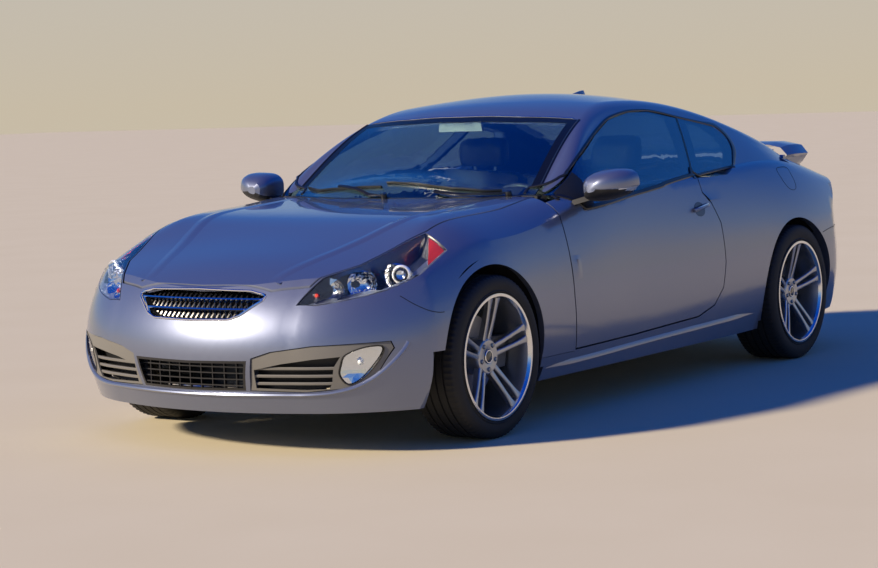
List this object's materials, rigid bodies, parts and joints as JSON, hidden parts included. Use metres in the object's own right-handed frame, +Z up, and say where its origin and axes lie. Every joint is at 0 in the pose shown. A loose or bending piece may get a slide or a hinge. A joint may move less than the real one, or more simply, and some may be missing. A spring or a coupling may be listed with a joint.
{
  "type": "two-door coupe car",
  "caption": "Two-door sports coupe with long bonnet, frameless doors, sloping rear window, boot lid with a raised wing and alloy wheels.",
  "frame": {"origin": "on the ground under the middle of the car's length, midway between its sides", "axes": "+X forward, +Y to the car's left, +Z up"},
  "size_m": [4.6345, 2.16, 1.3819],
  "materials": {
    "body_paint": "metallic dark blue-grey lacquer",
    "black_trim": "grained black plastic",
    "underbody": "black underseal",
    "window_glass": "tinted tempered glass",
    "lamp": "clear polycarbonate lens",
    "tail_lamp": "red acrylic lens",
    "bright_grille": "bright bars",
    "alloy": "silver lacquered alloy",
    "rubber": "tread rubber",
    "iron": "machined and bare cast iron",
    "steel": "steel tube",
    "engine": "cast alloy",
    "interior": "soft-touch dark moulding",
    "upholstery": "dark leather",
    "mirror_glass": "silvered glass in a dark shell"
  },
  "bodies": {
    "root": {"headlamps": "lamp", "tail_lamps": "tail_lamp", "front_bumper": "body_paint", "rear_bumper": "body_paint", "front_fenders": "body_paint", "side_frames": "body_paint", "roof": "body_paint", "windscreen": "window_glass", "rear_windows": "window_glass", "scuttle": "black_trim", "upper_grille": "bright_grille", "lower_grille": "black_trim", "side_grilles": "black_trim", "fog_lamps": "lamp", "floor_pan": "underbody", "parcel_shelf": "interior", "wheel_liners": "black_trim", "front_subframe": "underbody", "rear_knuckles": "iron", "rear_suspension": "underbody", "driveline": "steel", "engine_block": "engine", "radiator": "engine", "fuel_tank": "black_trim", "exhaust": "steel", "dashboard": "interior", "centre_console": "interior", "front_seats": "upholstery", "rear_seat": "upholstery", "inside_mirror": "mirror_glass"},
    "knuckle_left": {"front_knuckle_left": "iron"},
    "door_left": {"door_left": "body_paint", "door_glass_left": "window_glass", "door_mirror_left": "body_paint"},
    "wheel_front_left": {"rim_front_left": "alloy", "tyre_front_left": "rubber", "brake_disc_front_left": "iron"},
    "wheel_rear_left": {"rim_rear_left": "alloy", "tyre_rear_left": "rubber", "brake_disc_rear_left": "iron"},
    "knuckle_right": {"front_knuckle_right": "iron"},
    "door_right": {"door_right": "body_paint", "door_glass_right": "window_glass", "door_mirror_right": "body_paint"},
    "wheel_front_right": {"rim_front_right": "alloy", "tyre_front_right": "rubber", "brake_disc_front_right": "iron"},
    "wheel_rear_right": {"rim_rear_right": "alloy", "tyre_rear_right": "rubber", "brake_disc_rear_right": "iron"},
    "bonnet": {"bonnet": "body_paint"},
    "boot_lid": {"boot_lid": "body_paint", "rear_wing": "body_paint"},
    "steering_wheel": {"steering_wheel": "interior"}
  },
  "joints": [
    {"name": "steer_left", "type": "hinge", "parent": "root", "child": "knuckle_left", "pos_m": [1.455, 0.705, 0.212], "axis": [-0.0614, -0.1765, 0.9824], "range_deg": [-33, 33]},
    {"name": "wheel_spin_front_left", "type": "hinge", "parent": "knuckle_left", "child": "wheel_front_left", "pos_m": [1.455, 0.8, 0.331], "axis": [0, 1, 0], "continuous": true},
    {"name": "wheel_spin_rear_left", "type": "hinge", "parent": "root", "child": "wheel_rear_left", "pos_m": [-1.365, 0.8075, 0.339], "axis": [0, 1, 0], "continuous": true},
    {"name": "door_left_hinge", "type": "hinge", "parent": "root", "child": "door_left", "pos_m": [0.778, 0.89, 0.52], "axis": [0, 0, 1], "range_deg": [-65, 0]},
    {"name": "steer_right", "type": "hinge", "parent": "root", "child": "knuckle_right", "pos_m": [1.455, -0.705, 0.212], "axis": [-0.0614, 0.1765, 0.9824], "range_deg": [-33, 33]},
    {"name": "wheel_spin_front_right", "type": "hinge", "parent": "knuckle_right", "child": "wheel_front_right", "pos_m": [1.455, -0.8, 0.331], "axis": [0, 1, 0], "continuous": true},
    {"name": "wheel_spin_rear_right", "type": "hinge", "parent": "root", "child": "wheel_rear_right", "pos_m": [-1.365, -0.8075, 0.339], "axis": [0, 1, 0], "continuous": true},
    {"name": "door_right_hinge", "type": "hinge", "parent": "root", "child": "door_right", "pos_m": [0.778, -0.89, 0.52], "axis": [0, 0, 1], "range_deg": [0, 65]},
    {"name": "bonnet_hinge", "type": "hinge", "parent": "root", "child": "bonnet", "pos_m": [0.79, 0, 0.93], "axis": [0, -1, 0], "range_deg": [0, 55]},
    {"name": "boot_lid_hinge", "type": "hinge", "parent": "root", "child": "boot_lid", "pos_m": [-1.69, 0, 1.005], "axis": [0, 1, 0], "range_deg": [0, 70]},
    {"name": "steering_wheel_turn", "type": "hinge", "parent": "root", "child": "steering_wheel", "pos_m": [0.33, 0.375, 0.79], "axis": [-0.9135, 0, 0.4067], "range_deg": [-465, 465]}
  ],
  "couplings": [
    {"joint": "steer_right", "follows": "steer_left", "ratio": 1},
    {"joint": "steering_wheel_turn", "follows": "steer_left", "ratio": 14}
  ]
}
